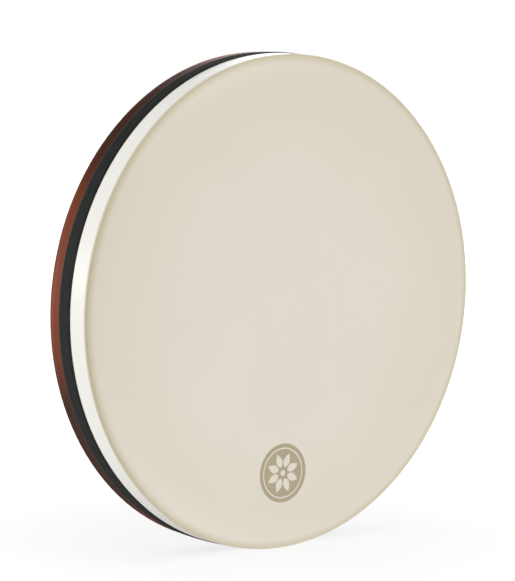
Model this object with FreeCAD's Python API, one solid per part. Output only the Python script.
import FreeCAD, Part
import math
import os

# Frame drum, nominal 20 in across and 2 3/8 in deep, held upright as it is played.
# Row frame, in millimetres: +Z up, the struck face looks along -Y, and the origin is below the
# drum's axis, at the rim's lowest point and half way through the drum's depth.
#
# Every ring is drawn as an outline of (radius, depth) points and turned about the drum's axis.
# Radius is measured from that axis. Depth is measured backwards from the crest of the bearing
# edge, so the shell runs from depth 0 to SHELL_DEPTH and the film lies just in front of depth 0.

# ---- driving dimensions ----
SHELL_OUTER_R = 254.0
SHELL_DEPTH = 60.3
PLY_THICKNESS = 1.32
GLUE_LINE = 0.1
PLY_NAMES = ("outer_face_ply", "core_ply_1", "core_ply_2", "core_ply_3", "inner_face_ply")

# the edge that carries the film: rounded outside, with a narrow crest and a relieved inside
BEARING_ROUND_R = 2.6
BEARING_CREST = 0.5
# the open edge at the back
BACK_OUTER_ROUND_R = 2.0
BACK_INNER_ROUND_R = 1.5

# each ply is a strip bent into a ring, and the seams where the ends meet are staggered
SEAM_GAP = 0.2
FIRST_SEAM_DEG = 292.0
SEAM_STAGGER_DEG = 72.0

# the film: one sheet, glued to the outside of the shell and over its bearing edge. Just inside
# that edge it still climbs a little, in a shallow curve, before it runs flat across the drum
FILM_THICKNESS = 0.4
COLLAR_END_DEPTH = 34.5
PILLOW_SLOPE_DEG = 8.0
PILLOW_WIDTH = 26.0

# the woven ribbon that covers the film's cut edge
RIBBON_START_DEPTH = 25.2
RIBBON_WIDTH = 19.0
RIBBON_THICKNESS = 0.75
RIBBON_GLUE = 0.05
RIBBON_EDGE_R = 0.3
RIBBON_STEP_LENGTH = 1.5
RIBBON_END_GAP = 0.4
LAP_LENGTH = 14.0
LAP_RAMP = 4.0
LAP_ANCHOR = 0.3
LAP_INSET = 0.5
LOWEST_DEG = 270.0

# the printed emblem at six o'clock
EMBLEM_R = 30.6
EMBLEM_DROP = 175.6
EMBLEM_THICKNESS = 0.12

# ---- worked out from the driving dimensions ----
PLY_PITCH = PLY_THICKNESS + GLUE_LINE
WALL = len(PLY_NAMES) * PLY_PITCH - GLUE_LINE
SHELL_INNER_R = SHELL_OUTER_R - WALL
CREST_R = SHELL_OUTER_R - BEARING_ROUND_R
BEARING_RELIEF = CREST_R - BEARING_CREST - SHELL_INNER_R
COLLAR_OUTER_R = SHELL_OUTER_R + FILM_THICKNESS
RIBBON_END_DEPTH = RIBBON_START_DEPTH + RIBBON_WIDTH
RIBBON_INNER_R = COLLAR_OUTER_R + RIBBON_GLUE
RIBBON_OUTER_R = RIBBON_INNER_R + RIBBON_THICKNESS
LAP_OUTER_R = RIBBON_OUTER_R + RIBBON_GLUE + RIBBON_THICKNESS
PILLOW_R = PILLOW_WIDTH / math.sin(math.radians(PILLOW_SLOPE_DEG))
PILLOW_RISE = (PILLOW_R - BEARING_ROUND_R) * (1.0 - math.cos(math.radians(PILLOW_SLOPE_DEG)))
FRONT_DEPTH = -PILLOW_RISE - FILM_THICKNESS - EMBLEM_THICKNESS
MID_DEPTH = (FRONT_DEPTH + SHELL_DEPTH) / 2.0
AXIS_HEIGHT = LAP_OUTER_R
# how far the cutting tools run past the solids that they cut
OVERRUN = 2.0

AXIS_POINT = FreeCAD.Vector(0.0, 0.0, 0.0)
AXIS_DIRECTION = FreeCAD.Vector(0.0, 1.0, 0.0)
TO_ROW_FRAME = FreeCAD.Vector(0.0, -MID_DEPTH, AXIS_HEIGHT)


def point(radius, depth):
    return FreeCAD.Vector(radius, depth, 0.0)


def line(start, end):
    return Part.LineSegment(point(*start), point(*end)).toShape()


def on_circle(centre, radius, degrees):
    """A point of an outline's round corner. 0 degrees faces outwards and 90 faces backwards."""
    angle = math.radians(degrees)
    return centre[0] + radius * math.cos(angle), centre[1] + radius * math.sin(angle)


def corner(centre, radius, start_deg, end_deg):
    middle_deg = (start_deg + end_deg) / 2.0
    ends = [on_circle(centre, radius, turn) for turn in (start_deg, middle_deg, end_deg)]
    return Part.Arc(*[point(*end) for end in ends]).toShape()


def outline(*pieces):
    """Joins round corners and the straight stretches between them into one closed wire."""
    edges = []
    for index, piece in enumerate(pieces):
        following = pieces[(index + 1) % len(pieces)]
        edges.append(piece)
        here = piece.Vertexes[-1].Point
        there = following.Vertexes[0].Point
        if here.distanceToPoint(there) > Part.Precision.confusion():
            edges.append(Part.LineSegment(here, there).toShape())
    return Part.Wire(edges)


def ring(wire):
    """Turns an outline once round the drum's axis."""
    return Part.Face(wire).revolve(AXIS_POINT, AXIS_DIRECTION, 360.0)


def rectangle(inner_r, outer_r, start_depth, end_depth):
    corners = (
        (inner_r, start_depth),
        (outer_r, start_depth),
        (outer_r, end_depth),
        (inner_r, end_depth),
        (inner_r, start_depth),
    )
    return Part.Face(Part.makePolygon([point(*each) for each in corners]))


def around(radius, degrees, depth=0.0):
    """The place at this radius and this angle round the drum, 0 to the right and 90 at the top."""
    angle = math.radians(degrees)
    return FreeCAD.Vector(radius * math.cos(angle), depth, radius * math.sin(angle))


def degrees_for(length, radius):
    return math.degrees(length / radius)


def shell_section():
    """The cross-section of the whole laminated wall, before it is divided into its plies."""
    bearing_round = corner((CREST_R, BEARING_ROUND_R), BEARING_ROUND_R, -90.0, 0.0)
    back_outer = corner(
        (SHELL_OUTER_R - BACK_OUTER_ROUND_R, SHELL_DEPTH - BACK_OUTER_ROUND_R),
        BACK_OUTER_ROUND_R,
        0.0,
        90.0,
    )
    back_inner = corner(
        (SHELL_INNER_R + BACK_INNER_ROUND_R, SHELL_DEPTH - BACK_INNER_ROUND_R),
        BACK_INNER_ROUND_R,
        90.0,
        180.0,
    )
    relief = line((SHELL_INNER_R, BEARING_RELIEF), (CREST_R - BEARING_CREST, 0.0))
    return Part.Face(outline(bearing_round, back_outer, back_inner, relief))


def ply(section, index):
    """One strip of the wall, bent into a ring whose two ends meet in a narrow glued seam."""
    outer_r = SHELL_OUTER_R - index * PLY_PITCH
    band = rectangle(outer_r - PLY_THICKNESS, outer_r, -OVERRUN, SHELL_DEPTH + OVERRUN)
    strip = section.common(band).Faces[0]
    bent = strip.revolve(AXIS_POINT, AXIS_DIRECTION, 360.0 - degrees_for(SEAM_GAP, outer_r))
    seam_deg = FIRST_SEAM_DEG + index * SEAM_STAGGER_DEG
    return bent.rotated(AXIS_POINT, AXIS_DIRECTION, -seam_deg)


def drum_head():
    """The film: flat across the drum, over the shallow curve, round the edge and down the side."""
    lift_deg = PILLOW_SLOPE_DEG - 90.0
    edge_centre = (CREST_R, BEARING_ROUND_R)
    pillow_centre = on_circle(edge_centre, BEARING_ROUND_R - PILLOW_R, lift_deg)
    outer_pillow = corner(pillow_centre, PILLOW_R + FILM_THICKNESS, -90.0, lift_deg)
    outer_round = corner(edge_centre, BEARING_ROUND_R + FILM_THICKNESS, lift_deg, 0.0)
    cut_edge = line((COLLAR_OUTER_R, COLLAR_END_DEPTH), (SHELL_OUTER_R, COLLAR_END_DEPTH))
    inner_round = corner(edge_centre, BEARING_ROUND_R, 0.0, lift_deg)
    inner_pillow = corner(pillow_centre, PILLOW_R, lift_deg, -90.0)
    middle = line((0.0, -PILLOW_RISE), (0.0, -PILLOW_RISE - FILM_THICKNESS))
    return ring(outline(outer_pillow, outer_round, cut_edge, inner_round, inner_pillow, middle))


def ribbon_band():
    """The ribbon's woven band. It lies on the film in front and steps down to the wood behind."""
    near = RIBBON_START_DEPTH + RIBBON_EDGE_R
    far = RIBBON_END_DEPTH - RIBBON_EDGE_R
    step_start = COLLAR_END_DEPTH + RIBBON_GLUE
    step_end = step_start + RIBBON_STEP_LENGTH
    back_outer_r = RIBBON_OUTER_R - FILM_THICKNESS
    back_inner_r = RIBBON_INNER_R - FILM_THICKNESS
    outer_step = line((RIBBON_OUTER_R, step_start), (back_outer_r, step_end))
    inner_step = line((back_inner_r, step_end), (RIBBON_INNER_R, step_start))
    front_edge = corner((RIBBON_OUTER_R - RIBBON_EDGE_R, near), RIBBON_EDGE_R, -90.0, 0.0)
    back_edge = corner((back_outer_r - RIBBON_EDGE_R, far), RIBBON_EDGE_R, 0.0, 90.0)
    back_foot = line((back_inner_r + RIBBON_EDGE_R, RIBBON_END_DEPTH), (back_inner_r, far))
    front_foot = line((RIBBON_INNER_R, near), (RIBBON_INNER_R + RIBBON_EDGE_R, RIBBON_START_DEPTH))
    return ring(outline(front_edge, outer_step, back_edge, back_foot, inner_step, front_foot))


def ribbon_gap():
    """The small gap between the ribbon's two ends, under the lap."""
    start = LOWEST_DEG - degrees_for(RIBBON_END_GAP, RIBBON_OUTER_R) / 2.0
    end = LOWEST_DEG + degrees_for(RIBBON_END_GAP, RIBBON_OUTER_R) / 2.0
    corners = [
        around(SHELL_OUTER_R - OVERRUN, start),
        around(LAP_OUTER_R + OVERRUN, start),
        around(LAP_OUTER_R + OVERRUN, end),
        around(SHELL_OUTER_R - OVERRUN, end),
    ]
    face = Part.Face(Part.makePolygon(corners + corners[:1]))
    return face.extrude(FreeCAD.Vector(0.0, SHELL_DEPTH, 0.0))


def arc_around(radius, start_deg, end_deg, depth):
    middle_deg = (start_deg + end_deg) / 2.0
    ends = [around(radius, turn, depth) for turn in (start_deg, middle_deg, end_deg)]
    return Part.Arc(*ends).toShape()


def ribbon_lap():
    """The ribbon's free end: it climbs off its own band and lies over the other end."""
    half = degrees_for(LAP_LENGTH, LAP_OUTER_R) / 2.0
    ramp = degrees_for(LAP_RAMP, LAP_OUTER_R)
    gap = degrees_for(RIBBON_END_GAP, RIBBON_OUTER_R) / 2.0
    foot_r = RIBBON_OUTER_R - LAP_ANCHOR
    under_r = RIBBON_OUTER_R + RIBBON_GLUE
    first = LOWEST_DEG - half
    last = LOWEST_DEG + half
    join = LOWEST_DEG - gap
    depth = RIBBON_START_DEPTH + LAP_INSET
    top = arc_around(LAP_OUTER_R, first + ramp, last, depth)
    tip = Part.LineSegment(around(LAP_OUTER_R, last, depth), around(under_r, last, depth))
    under = arc_around(under_r, last, join, depth)
    drop = Part.LineSegment(around(under_r, join, depth), around(foot_r, join, depth))
    foot = arc_around(foot_r, join, first, depth)
    climb = Part.LineSegment(around(foot_r, first, depth), around(LAP_OUTER_R, first + ramp, depth))
    wire = Part.Wire([top, tip.toShape(), under, drop.toShape(), foot, climb.toShape()])
    return Part.Face(wire).extrude(FreeCAD.Vector(0.0, RIBBON_WIDTH - 2.0 * LAP_INSET, 0.0))


def trim_ribbon():
    return ribbon_band().cut(ribbon_gap()).fuse(ribbon_lap()).removeSplitter()


def head_emblem():
    """A thin disc printed on the film, low on the drum's middle line."""
    disc = Part.makeCylinder(
        EMBLEM_R,
        EMBLEM_THICKNESS,
        FreeCAD.Vector(0.0, FRONT_DEPTH, -EMBLEM_DROP),
        AXIS_DIRECTION,
    )
    return disc


def write(node, shape):
    placed = shape.copy()
    placed.translate(TO_ROW_FRAME)
    if not placed.isValid():
        raise ValueError(f"{node} is not a valid solid")
    placed.exportStep(os.path.join("parts", node + ".step"))
    box = placed.optimalBoundingBox(False)
    print(
        f"{node}: {len(placed.Solids)} solid, {placed.Volume / 1000.0:.1f} cm3, "
        f"x {box.XMin:.2f}..{box.XMax:.2f} y {box.YMin:.2f}..{box.YMax:.2f} "
        f"z {box.ZMin:.2f}..{box.ZMax:.2f}"
    )


def main():
    os.makedirs("parts", exist_ok=True)
    section = shell_section()
    for index, name in enumerate(PLY_NAMES):
        write(name, ply(section, index))
    write("drum_head", drum_head())
    write("trim_ribbon", trim_ribbon())
    write("head_emblem", head_emblem())


main()
